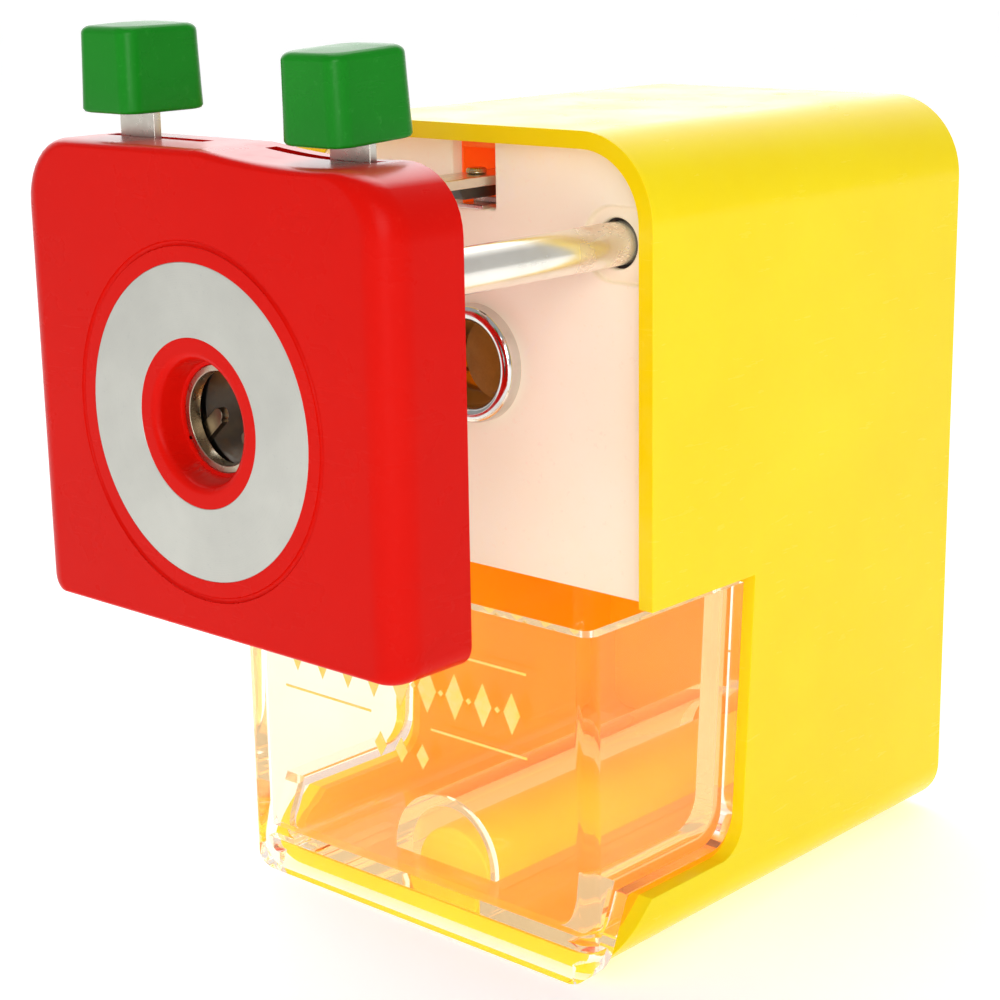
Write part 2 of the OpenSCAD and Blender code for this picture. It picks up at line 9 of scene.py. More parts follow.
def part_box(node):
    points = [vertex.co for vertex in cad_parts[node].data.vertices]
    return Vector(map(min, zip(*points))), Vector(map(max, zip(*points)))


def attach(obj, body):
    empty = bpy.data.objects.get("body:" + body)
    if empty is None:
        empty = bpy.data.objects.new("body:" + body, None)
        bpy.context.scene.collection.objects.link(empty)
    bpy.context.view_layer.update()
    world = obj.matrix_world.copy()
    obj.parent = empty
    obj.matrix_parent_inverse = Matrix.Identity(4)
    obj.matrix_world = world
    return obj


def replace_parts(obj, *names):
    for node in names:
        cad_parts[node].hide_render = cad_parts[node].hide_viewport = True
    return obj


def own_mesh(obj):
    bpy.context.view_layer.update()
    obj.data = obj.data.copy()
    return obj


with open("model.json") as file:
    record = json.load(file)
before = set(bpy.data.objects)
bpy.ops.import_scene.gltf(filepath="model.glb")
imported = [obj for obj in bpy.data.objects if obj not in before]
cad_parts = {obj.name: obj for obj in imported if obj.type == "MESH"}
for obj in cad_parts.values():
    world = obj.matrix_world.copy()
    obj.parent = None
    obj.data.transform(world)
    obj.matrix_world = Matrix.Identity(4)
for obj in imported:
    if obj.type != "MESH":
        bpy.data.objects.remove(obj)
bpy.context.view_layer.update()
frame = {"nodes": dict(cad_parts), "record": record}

MM = 0.001
EPS = 1e-7
disc_low, disc_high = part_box("trim_disc")
bore_z = (disc_low.z + disc_high.z) / 2          # height of the pencil's axis


# ---- Node helpers ----

def add(tree, kind, inputs=(), **settings):
    """Adds a node. inputs is {socket name or number: value or socket}."""
    node = tree.nodes.new(kind)
    for key, value in settings.items():
        setattr(node, key, value)
    for key, value in dict(inputs).items():
        if isinstance(value, bpy.types.NodeSocket):
            tree.links.new(value, node.inputs[key])
        else:
            node.inputs[key].default_value = value
    return node


def shader(name):
    material = bpy.data.materials.new(name)
    material.use_nodes = True
    tree = material.node_tree
    tree.nodes.clear()
    out = add(tree, "ShaderNodeOutputMaterial")
    bsdf = add(tree, "ShaderNodeBsdfPrincipled")
    tree.links.new(bsdf.outputs[0], out.inputs[0])
    return material, tree, bsdf, out


def place(tree, stretch=(1, 1, 1), offset=(0, 0, 0)):
    coords = add(tree, "ShaderNodeTexCoord").outputs["Object"]
    return add(tree, "ShaderNodeMapping", {0: coords, 1: offset, 3: stretch}).outputs[0]


def noise(tree, scale, detail=3.0, stretch=(1, 1, 1), offset=(0, 0, 0), roughness=0.55):
    return add(tree, "ShaderNodeTexNoise", {
        "Vector": place(tree, stretch, offset), "Scale": scale, "Detail": detail,
        "Roughness": roughness}).outputs["Fac"]


def remap(tree, value, low, high, new_low, new_high):
    return add(tree, "ShaderNodeMapRange", {
        0: value, 1: low, 2: high, 3: new_low, 4: new_high}).outputs[0]


def mixed(tree, share, a, b):
    node = add(tree, "ShaderNodeMix", data_type="RGBA")
    for key, value in ((0, share), (6, a), (7, b)):
        if isinstance(value, bpy.types.NodeSocket):
            tree.links.new(value, node.inputs[key])
        else:
            node.inputs[key].default_value = value if key == 0 else (*value[:3], 1)
    return node.outputs[2]


def sums(tree, operation, a, b=0.0):
    return add(tree, "ShaderNodeMath", {0: a, 1: b}, operation=operation).outputs[0]


def edges(tree):
    """1 on worn convex edges, 0 elsewhere."""
    point = add(tree, "ShaderNodeNewGeometry").outputs["Pointiness"]
    return remap(tree, point, 0.52, 0.60, 0.0, 1.0)


def bumped(tree, bsdf, layers):
    """layers is a list of (height socket, depth in metres)."""
    normal = None
    for height, depth in layers:
        inputs = {"Height": height, "Distance": depth, "Strength": 1.0}
        if normal is not None:
            inputs["Normal"] = normal
        normal = add(tree, "ShaderNodeBump", inputs).outputs[0]
    tree.links.new(normal, bsdf.inputs["Normal"])


def plastic(name, shade, pale, rough=(0.2, 0.32), grain=1800, grain_depth=0.000006,
            wear=0.25, wear_shade=None, shine=0.5, dust=(0.8, 0.8, 0.78), dusty=0.06,
            wave_depth=0.00003, glow=0.0, painted_top_sheen=None):
    """Moulded plastic: cloudy colour, faint scuffs, fine grain, paler worn edges.

    glow is painted light: the plastic glows in its own colour, lighting its shaded insides.
    The top sheen is a painted sheen: faces turned upwards reflect more strongly."""
    material, tree, bsdf, _ = shader(name)
    clouds = remap(tree, noise(tree, 38, 4), 0.3, 0.7, 0.0, 1.0)
    colour = mixed(tree, clouds, shade, pale)
    specks = remap(tree, noise(tree, 900, 2, roughness=0.7), 0.62, 0.74, 0.0, dusty)
    colour = mixed(tree, specks, colour, dust)
    scuffs = remap(tree, noise(tree, 160, 5, (1, 1, 7), (3, 1, 2)), 0.60, 0.72, 0.0, 1.0)
    worn = sums(tree, "MULTIPLY", edges(tree), sums(
        tree, "MULTIPLY", remap(tree, noise(tree, 420, 4), 0.40, 0.62, 0.0, 1.0), wear))
    colour = mixed(tree, worn, colour, wear_shade or tuple(0.5 * c + 0.5 for c in pale))
    tree.links.new(colour, bsdf.inputs["Base Color"])
    roughness = remap(tree, noise(tree, 75, 5, offset=(7, 2, 5)), 0.3, 0.7, *rough)
    roughness = sums(tree, "ADD", roughness, sums(tree, "MULTIPLY", scuffs, 0.10))
    roughness = sums(tree, "ADD", roughness, sums(tree, "MULTIPLY", worn, 0.20))
    tree.links.new(roughness, bsdf.inputs["Roughness"])
    bumped(tree, bsdf, [(noise(tree, 55, 2), wave_depth), (noise(tree, grain, 2), grain_depth)])
    bsdf.inputs["IOR"].default_value = 1.5
    bsdf.inputs["Specular IOR Level"].default_value = shine
    # Painted sheen: faces turned upwards get a higher specular level and IOR.
    if painted_top_sheen is not None:
        facing_up = add(tree, "ShaderNodeSeparateXYZ", {
            0: add(tree, "ShaderNodeNewGeometry").outputs["Normal"]}).outputs[2]
        tree.links.new(remap(tree, facing_up, 0.75, 0.97, shine, painted_top_sheen),
                       bsdf.inputs["Specular IOR Level"])
        tree.links.new(remap(tree, facing_up, 0.75, 0.97, 1.5, 2.0), bsdf.inputs["IOR"])
    # Painted light: the plastic glows in its own colour.
    if glow:
        tree.links.new(colour, bsdf.inputs["Emission Color"])
        bsdf.inputs["Emission Strength"].default_value = glow
    return material


def metal(name, shade, pale, rough=(0.16, 0.34), stretch=(1, 1, 1), brush=900,
          brush_depth=0.000006, tarnish=(0.35, 0.29, 0.2), tarnished=0.35, rust=None,
          wear=0.5, metallic=1.0):
    """Metal with brushing along the short axis of stretch, tarnish clouds, bright edges.

    rust is (low y, high y, share) for orange patches between two places along Y."""
    material, tree, bsdf, _ = shader(name)
    clouds = remap(tree, noise(tree, 120, 5), 0.32, 0.68, 0.0, 1.0)
    colour = mixed(tree, clouds, shade, pale)
    stain = remap(tree, noise(tree, 230, 5, offset=(4, 8, 1)), 0.54, 0.70, 0.0, tarnished)
    colour = mixed(tree, stain, colour, tarnish)
    bright = sums(tree, "MULTIPLY", edges(tree), wear)
    colour = mixed(tree, bright, colour, tuple(min(1, c * 1.35) for c in pale))
    roughness = remap(tree, noise(tree, brush, 3, stretch), 0.3, 0.7, *rough)
    roughness = sums(tree, "ADD", roughness, sums(tree, "MULTIPLY", stain, 0.35))
    bsdf.inputs["Metallic"].default_value = metallic
    if rust:
        low, high, share = rust
        along = add(tree, "ShaderNodeSeparateXYZ", {0: place(tree)}).outputs[1]
        inside = sums(tree, "MULTIPLY",
                      remap(tree, along, low, low + 0.004, 0.0, 1.0),
                      remap(tree, along, high - 0.003, high, 1.0, 0.0))
        patches = remap(tree, noise(tree, 190, 6, (1, 0.45, 1), (2, 5, 1)), 0.46, 0.62, 0.0, 1.0)
        rusty = sums(tree, "MULTIPLY", sums(tree, "MULTIPLY", patches, inside), share)
        shades = mixed(tree, noise(tree, 1400, 4), (0.62, 0.20, 0.03), (0.86, 0.42, 0.10))
        colour = mixed(tree, rusty, colour, shades)
        roughness = sums(tree, "ADD", roughness, sums(tree, "MULTIPLY", rusty, 0.35))
        tree.links.new(sums(tree, "SUBTRACT", metallic, rusty), bsdf.inputs["Metallic"])
    tree.links.new(colour, bsdf.inputs["Base Color"])
    tree.links.new(roughness, bsdf.inputs["Roughness"])
    bumped(tree, bsdf, [(noise(tree, brush, 3, stretch), brush_depth)])
    return material


def spun(name, shade, pale, rough):
    """Satin foil with rings of fine spinning marks round the pencil's axis."""
    material, tree, bsdf, _ = shader(name)
    at = add(tree, "ShaderNodeSeparateXYZ", {0: place(tree, offset=(0, 0, -bore_z))})
    radius = sums(tree, "SQRT", sums(
        tree, "ADD", sums(tree, "POWER", at.outputs[0], 2.0),
        sums(tree, "POWER", at.outputs[2], 2.0)))
    rings = add(tree, "ShaderNodeTexNoise", {
        "W": radius, "Scale": 9000.0, "Detail": 3.0}, noise_dimensions="1D").outputs["Fac"]
    clouds = remap(tree, noise(tree, 90, 4), 0.3, 0.7, 0.0, 1.0)
    colour = mixed(tree, clouds, shade, pale)
    colour = mixed(tree, remap(tree, rings, 0.35, 0.65, 0.0, 0.10), colour, (0.45, 0.46, 0.45))
    speck = remap(tree, noise(tree, 1700, 2, roughness=0.8), 0.64, 0.72, 0.0, 0.25)
    colour = mixed(tree, speck, colour, (0.40, 0.41, 0.40))
    tree.links.new(colour, bsdf.inputs["Base Color"])
    tree.links.new(remap(tree, rings, 0.3, 0.7, *rough), bsdf.inputs["Roughness"])
    bsdf.inputs["Metallic"].default_value = 0.55
    bumped(tree, bsdf, [(rings, 0.000002), (noise(tree, 3000, 2), 0.000002)])
    return material


def clear(name, tint, pale, rough=(0.0, 0.012)):
    """Clear moulded styrene that lets the lamps through, with faint scratches.

    At the deep_ray bounce the walls give off a warm painted glow, standing in for light still
    inside them."""
    deep_ray, deep_glow, deep_shade = 7.0, 0.85, (1.0, 0.74, 0.40, 1)
    material, tree, bsdf, out = shader(name)
    haze = remap(tree, noise(tree, 60, 4), 0.35, 0.7, 0.0, 1.0)
    tree.links.new(mixed(tree, haze, tint, pale), bsdf.inputs["Base Color"])
    scratches = remap(tree, noise(tree, 260, 5, (1, 1, 9), (2, 7, 3)), 0.66, 0.76, 0.0, 0.05)
    roughness = remap(tree, noise(tree, 80, 4), 0.3, 0.7, *rough)
    roughness = sums(tree, "ADD", roughness, scratches)
    tree.links.new(roughness, bsdf.inputs["Roughness"])
    bloom = remap(tree, noise(tree, 26, 4, offset=(5, 1, 3)), 0.3, 0.7, 0.99, 1.0)
    tree.links.new(bloom, bsdf.inputs["Transmission Weight"])
    bsdf.inputs["IOR"].default_value = 1.33
    # Warm-tinted reflections: a painted reflection colour.
    bsdf.inputs["Specular Tint"].default_value = (1.0, 0.86, 0.36, 1)
    bumped(tree, bsdf, [(noise(tree, 45, 2), 0.00002)])
    path = add(tree, "ShaderNodeLightPath")
    # Painted light: surfaces hit at the deep_ray bounce glow warm.
    deep = sums(tree, "COMPARE", path.outputs["Ray Depth"], deep_ray)
    tree.links.new(sums(tree, "MULTIPLY", deep, deep_glow), bsdf.inputs["Emission Strength"])
    bsdf.inputs["Emission Color"].default_value = deep_shade
    through = add(tree, "ShaderNodeBsdfTransparent", {0: (0.97, 0.96, 0.94, 1)})
    both = add(tree, "ShaderNodeMixShader", {
        0: path.outputs["Is Shadow Ray"], 1: bsdf.outputs[0], 2: through.outputs[0]})
    tree.links.new(both.outputs[0], out.inputs[0])
    return material


yellow = plastic("yellow_abs", (0.98, 0.73, 0.003), (1.0, 0.79, 0.006), (0.16, 0.26),
                 shine=0.18, dust=(1.0, 0.82, 0.05), wear_shade=(1.0, 0.86, 0.10))
# The panel's faint glow is painted light.
cream = plastic("cream_panel", (0.97, 0.90, 0.68), (1.0, 0.95, 0.76), (0.38, 0.52),
                grain=2600, grain_depth=0.00001, wear_shade=(0.98, 0.93, 0.86),
                dust=(0.6, 0.5, 0.4), dusty=0.12, shine=0.35, glow=0.08)
# The liner is drawn orange, deeper than the shell's yellow: painted shade for light bouncing
# round the yellow bay. Its glow is painted light.
orange = plastic("orange_liner", (0.98, 0.34, 0.002), (1.0, 0.42, 0.004), (0.3, 0.42),
                 shine=0.12, wear_shade=(1.0, 0.5, 0.03), dust=(1.0, 0.45, 0.02), glow=0.30)
# The socket is the shell's yellow drawn deeper orange, as painted shade inside the bay; its glow
# is painted light.
hump_yellow = plastic("socket_yellow", (1.0, 0.50, 0.012), (1.0, 0.58, 0.02), (0.3, 0.42),
                      shine=0.12, wear_shade=(1.0, 0.65, 0.05), dust=(1.0, 0.6, 0.05), glow=0.3)
# The housing's red is brightened and given a glow: painted light in the notch's shaded inside.
notch_red = plastic("housing_red", (0.90, 0.09, 0.006), (1.0, 0.16, 0.010), (0.3, 0.42),
                    shine=0.3, wear_shade=(1.0, 0.3, 0.05), dust=(1.0, 0.25, 0.05), glow=0.3)
# The red plate's upward faces get the painted top sheen.
red = plastic("red_abs", (0.66, 0.005, 0.002), (0.69, 0.006, 0.002), (0.24, 0.32),
              grain=2400, grain_depth=0.000008, wear=0.0, wear_shade=(0.95, 0.10, 0.04),
              shine=0.06, dust=(0.9, 0.08, 0.05), dusty=0.05, wave_depth=0.000015, painted_top_sheen=1.0)
green = plastic("green_knob", (0.004, 0.19, 0.007), (0.008, 0.25, 0.012), (0.24, 0.34),
                grain=1500, grain_depth=0.000006, wear=0.0, wear_shade=(0.12, 0.5, 0.14),
                shine=0.15, dust=(0.1, 0.5, 0.1), dusty=0.10)
black = plastic("black_nylon", (0.012, 0.012, 0.013), (0.03, 0.03, 0.03), (0.4, 0.55))
rubber = plastic("foot_rubber", (0.02, 0.02, 0.02), (0.05, 0.05, 0.05), (0.7, 0.85),
                 grain=1200, grain_depth=0.00003)
clear_plastic = clear("clear_styrene", (0.98, 0.88, 0.79), (0.99, 0.90, 0.83))
print_gold = plastic("gold_print", (0.95, 0.72, 0.08), (1.0, 0.84, 0.16), (0.35, 0.5))
foil = spun("satin_foil", (0.53, 0.53, 0.48), (0.61, 0.61, 0.55), (0.34, 0.46))
plated = metal("plated_steel", (0.56, 0.53, 0.47), (0.68, 0.66, 0.61), tarnished=0.4)
bar_steel = metal("plated_bar", (0.66, 0.63, 0.55), (0.76, 0.73, 0.65), rough=(0.24, 0.36),
                  stretch=(1, 0.08, 1), tarnished=0.05, brush_depth=0.000002, wear=0.0)
# The tube's steel is pale and partly diffuse: painted brightness standing in for bright
# reflections.
tube_steel = metal("guide_tube_steel", (0.86, 0.82, 0.72), (0.96, 0.93, 0.84),
                   rough=(0.14, 0.26), stretch=(1, 0.05, 1),
                   rust=(-0.044, -0.033, 0.6), tarnished=0.15, metallic=0.75)
polished = metal("ferrule_steel", (0.62, 0.62, 0.60), (0.75, 0.75, 0.73), (0.05, 0.14),
                 brush_depth=0.000002, tarnished=0.15)
cup_steel = metal("cup_steel", (0.34, 0.29, 0.20), (0.52, 0.46, 0.35), (0.22, 0.34))
# The claws' colour is darkened nearly to black, as painted shade for the deep bore they sit in.
claw_steel = metal("claw_steel", (0.07, 0.055, 0.04), (0.20, 0.16, 0.11), (0.26, 0.40))
dark_steel = metal("dark_steel", (0.035, 0.03, 0.028), (0.09, 0.08, 0.07), (0.3, 0.5),
                   tarnished=0.5, tarnish=(0.12, 0.07, 0.03))
tool_steel = metal("tool_steel", (0.24, 0.24, 0.25), (0.38, 0.38, 0.39), (0.18, 0.35))
zinc = metal("cast_zinc", (0.30, 0.30, 0.31), (0.42, 0.42, 0.43), (0.4, 0.6), brush=2600,
             brush_depth=0.00003)


# ---- Mesh helpers ----

def link(name, mesh, body, material):
    """A piece that moves with a body."""
    piece = bpy.data.objects.new(name, mesh)
    bpy.context.scene.collection.objects.link(piece)
    mesh.materials.clear()
    mesh.materials.append(material)
    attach(piece, body)
    return piece


def baked(piece):
    """Applies the piece's modifiers to its mesh."""
    graph = bpy.context.evaluated_depsgraph_get()
    mesh = bpy.data.meshes.new_from_object(piece.evaluated_get(graph))
    mesh.name = piece.name
    piece.modifiers.clear()
    piece.data = mesh
    return piece


def softened(piece, width, segments=3, angle=35.0, sharp=40.0):
    """Rounds the piece's sharp edges and smooths its shading."""
    if width:
        bevel = piece.modifiers.new("bevel", "BEVEL")
        bevel.width = width
        bevel.segments = segments
        bevel.limit_method = "ANGLE"
        bevel.angle_limit = math.radians(angle)
        bevel.miter_outer = "MITER_ARC"
        bevel.use_clamp_overlap = True
        baked(piece)
    piece.data.shade_smooth()
    piece.data.set_sharp_from_angle(angle=math.radians(sharp))
    weighted = piece.modifiers.new("weighted", "WEIGHTED_NORMAL")
    weighted.keep_sharp = True
    weighted.weight = 80
    return piece


def body_of(node):
    bodies = frame["record"]["behaviour"]["bodies"]
    return next(name for name, members in bodies.items() if node in members)


def cleaned(node):
    """A copy of a CAD node's mesh, with whole flat faces in place of its triangles."""
    form = bmesh.new()
    form.from_mesh(frame["nodes"][node].data)
    bmesh.ops.remove_doubles(form, verts=form.verts, dist=0.000002)
    bmesh.ops.dissolve_limit(form, angle_limit=math.radians(0.4), verts=form.verts,
                             edges=form.edges)
    mesh = bpy.data.meshes.new(node + "_form")
    form.to_mesh(mesh)
    form.free()
    return mesh


def refined(node, name, material, width=0.3 * MM, segments=3):
    """A piece in the shape of a CAD node, with its edges rounded."""
    piece = link(name, cleaned(node), body_of(node), material)
    softened(piece, width, segments)
    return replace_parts(piece, node)


def stands_for(name, mesh, material, node):
    """A piece with a mesh of its own in place of a CAD node."""
    piece = link(name, mesh, body_of(node), material)
    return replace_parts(piece, node)


def arc_corners(points, radii, steps=6):
    """Rounds the corners of a closed 2-D outline."""
    out = []
    count = len(points)
    for i, point in enumerate(points):
        radius = radii[i] if isinstance(radii, (list, tuple)) else radii
        here = Vector(point)
        before = Vector(points[i - 1]) - here
        after = Vector(points[(i + 1) % count]) - here
        half = before.angle(after) / 2
        reach = radius / math.tan(half)
        start = here + before.normalized() * reach
        end = here + after.normalized() * reach
        centre = here + (before.normalized() + after.normalized()).normalized() * (
            radius / math.sin(half))
        a, b = start - centre, end - centre
        turn = math.atan2(a.x * b.y - a.y * b.x, a.dot(b))
        for k in range(steps + 1):
            t = turn * k / steps
            out.append(centre + Vector((a.x * math.cos(t) - a.y * math.sin(t),
                                        a.x * math.sin(t) + a.y * math.cos(t))))
    return out


def skin(form, rows):
    """Joins closed rows of vertices with faces. A row of one vertex is a pole."""
    for a, b in zip(rows, rows[1:]):
        steps = max(len(a), len(b))
        for k in range(steps):
            n = (k + 1) % steps
            if len(a) == 1:
                form.faces.new((a[0], b[n], b[k]))
            elif len(b) == 1:
                form.faces.new((a[k], a[n], b[0]))
            else:
                form.faces.new((a[k], a[n], b[n], b[k]))


def mesh_of(form, name):
    bmesh.ops.recalc_face_normals(form, faces=form.faces)
    mesh = bpy.data.meshes.new(name)
    form.to_mesh(mesh)
    form.free()
    return mesh


def lathe(name, profile, x=0.0, z=bore_z, steps=96, ring=True):
    """Turns a (radius, y) outline, in metres, round an axis along Y."""
    form = bmesh.new()
    rows = []
    for radius, y in profile:
        if radius < EPS:
            rows.append([form.verts.new((x, y, z))])
        else:
            rows.append([form.verts.new((
                x + radius * math.sin(math.tau * k / steps), y,
                z + radius * math.cos(math.tau * k / steps))) for k in range(steps)])
    if ring:
        rows.append(rows[0])
    skin(form, rows)
    return mesh_of(form, name)


def coil(name, points, wire_r, sides=6):
    """A round wire along a list of points."""
    form = bmesh.new()
    rows = []
    side = None
    for i, point in enumerate(points):
        ahead = Vector(points[min(i + 1, len(points) - 1)]) - Vector(points[max(i - 1, 0)])
        ahead.normalize()
        if side is None:
            side = ahead.orthogonal()
        side = (side - ahead * side.dot(ahead)).normalized()
        other = ahead.cross(side)
        rows.append([form.verts.new(Vector(point) + wire_r * (
            side * math.cos(math.tau * k / sides) + other * math.sin(math.tau * k / sides)))
            for k in range(sides)])
    skin(form, [[form.verts.new(points[0])], *rows, [form.verts.new(points[-1])]])
    return mesh_of(form, name)


def combined(piece, operation, *solids):
    """Adds the solids to the piece, or cuts them out of it, and removes them."""
    for solid in solids:
        cut = piece.modifiers.new("cut", "BOOLEAN")
        cut.operation = operation
        cut.solver = "EXACT"
        cut.object = solid
    baked(piece)
    for solid in solids:
        bpy.data.objects.remove(solid)
    return piece


def carved(piece, *cutters):
    return combined(piece, "DIFFERENCE", *cutters)


def block(low, high):
    """A closed box used only as a cutter."""
    form = bmesh.new()
    bmesh.ops.create_cube(form, size=1.0)
    low, high = Vector(low), Vector(high)
    for v in form.verts:
        v.co = Vector(tuple((low[i] + high[i]) / 2 + v.co[i] * (high[i] - low[i])
                            for i in range(3)))
    cutter = bpy.data.objects.new("cutter", mesh_of(form, "cutter"))
    bpy.context.scene.collection.objects.link(cutter)
    return cutter


def merged(name, meshes):
    """One mesh out of several that don't touch."""
    form = bmesh.new()
    for mesh in meshes:
        form.from_mesh(mesh)
    mesh = bpy.data.meshes.new(name)
    form.to_mesh(mesh)
    form.free()
    return mesh


# ---- Pieces with a form of their own ----

def joint_of(name):
    return next(j for j in frame["record"]["behaviour"]["joints"] if j["name"] == name)


def return_coil(side):
    """Spring inside a guide tube, which shortens as the face plate slides in."""
    low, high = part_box("return_spring_" + side)
    x, z = (low.x + high.x) / 2, (low.z + high.z) / 2
    wire, turns, steps = 0.26 * MM, 62, 10
    winding = (high.x - low.x) / 2 - wire
    rise = (high.y - low.y - 2 * wire) / (turns * steps)
    path = [(x + winding * math.sin(math.tau * k / steps), low.y + wire + rise * k,
             z + winding * math.cos(math.tau * k / steps)) for k in range(turns * steps + 1)]
    name = "return_coil_" + side
    spring = stands_for(name, coil(name, path, wire), plated, "return_spring_" + side)
    spring.data.shade_smooth()
    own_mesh(spring)


def screws(node, name, head_r, head_h, shank_r):
    """Four cross-head screws in place of a CAD node's plain ones, heads towards +Y."""
    low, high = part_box(node)
    y_face = high.y - head_h
    meshes = []
    for x in (low.x + head_r, high.x - head_r):
        for z in (low.z + head_r, high.z - head_r):
            dome = [(head_r * math.cos(math.radians(a)),
                     y_face + head_h * (0.35 + 0.65 * math.sin(math.radians(a))))
                    for a in range(0, 90, 10)]
            profile = [(0, low.y), (shank_r * 0.7, low.y), (shank_r, low.y + 0.5 * MM),
                       (shank_r, y_face), (head_r * 0.96, y_face), (head_r, y_face + 0.1 * MM),
                       *dome, (0, high.y)]
            head = bpy.data.objects.new("head", lathe("head", profile, x, z, 32, ring=False))
            bpy.context.scene.collection.objects.link(head)
            arm, half = head_r * 0.62, 0.28 * MM  # the cross's reach and half its width
            deep = high.y - head_h * 0.75
            carved(head, block((x - arm, deep, z - half), (x + arm, high.y + MM, z + half)),
                   block((x - half, deep, z - arm), (x + half, high.y + MM, z + arm)))
            meshes.append(head.data)
            bpy.data.objects.remove(head)
    piece = stands_for(name, merged(name, meshes), plated, node)
    return softened(piece, 0, sharp=30)


def outline_rows(form, low, high, corner, levels, steps=6):
    """Rows of a block with round corners. levels is a list of (z, inset)."""
    rows = []
    for z, inset in levels:
        x0, y0, x1, y1 = low.x + inset, low.y + inset, high.x - inset, high.y - inset
        radius = max(0.2 * MM, min(corner, (x1 - x0) / 2.3, (y1 - y0) / 2.3))
        points = arc_corners([(x0, y0), (x1, y0), (x1, y1), (x0, y1)], radius, steps)
        rows.append([form.verts.new((p.x, p.y, z)) for p in points])
    return rows


def finger_knob(side):
    """Knob that narrows upwards, with soft edges and a slightly domed top."""
    low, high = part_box("knob_" + side)
    fuller = Vector((0.3 * MM, 0.2 * MM, 0))     # the knobs are a little fuller than the CAD's
    low -= fuller
    high += fuller
    height = high.z - low.z
    taper, edge, dome = 0.3 * MM, 1.0 * MM, 0.3 * MM
    rim = high.z - dome
    levels = [(low.z, 0.5 * MM), (low.z + 0.12 * MM, 0.18 * MM), (low.z + 0.5 * MM, 0.0)]
    levels += [(low.z + height * share, taper * share) for share in (0.3, 0.6)]
    levels += [(rim - edge + edge * math.sin(math.radians(a)),
                taper * 0.85 + edge * (1 - math.cos(math.radians(a)))) for a in range(0, 91, 15)]
    half = (high.x - low.x) / 2
    for share in (0.3, 0.6, 0.85):
        inset = taper + edge + (half - taper - edge) * share * 0.95
        levels.append((rim + dome * (1 - (1 - share) ** 2), inset))
    form = bmesh.new()
    rows = outline_rows(form, low, high, 2.3 * MM, levels)
    skin(form, rows)
    form.faces.new(rows[0])
    form.faces.new(rows[-1])
    lean = math.radians(3.0 if side == "right" else 0.4)
    bmesh.ops.rotate(form, cent=((low.x + high.x) / 2, (low.y + high.y) / 2, low.z + 3 * MM),
                     matrix=Matrix.Rotation(lean, 3, "X"), verts=form.verts)
    piece = stands_for("finger_knob_" + side, mesh_of(form, "finger_knob_" + side), green,
                       "knob_" + side)
    lever_low, lever_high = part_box("lever_" + side)
    middle, reach = (low.x + high.x) / 2, 3.45 * MM
    carved(piece, block((middle - reach, lever_low.y, low.z - MM),
                        (middle + reach, lever_high.y, lever_high.z)))
    return softened(piece, 0, sharp=50)


def plate_outline(low, high, inset_x, inset_z, top_r, low_r, steps=10, spans=24):
    """Outline of the face plate, with the shallow dip for a finger in its top edge."""
    x0, x1 = low.x + inset_x, high.x - inset_x
    z0, z1 = low.z + inset_z, high.z - inset_z
    corners = arc_corners([(x0, z0), (x1, z0), (x1, z1), (x0, z1)],
                          [low_r, low_r, top_r, top_r], steps)
    cut = 3 * (steps + 1)                        # the straight top edge starts here
    right_end, left_end = corners[cut - 1], corners[cut]
    along = [right_end.lerp(left_end, k / spans) for k in range(1, spans)]
    points = corners[:cut] + along + corners[cut:]
    dip_x, dip_r, dip_depth = 19 * MM, 112 * MM, 1.2 * MM
    for point in points:
        if point.y > z1 - top_r:
            depth = max(0.0, dip_depth - (point.x - dip_x) ** 2 / (2 * dip_r))
            point.y -= depth * min(1.0, (point.y - z1 + top_r) / (0.6 * top_r))
    return points


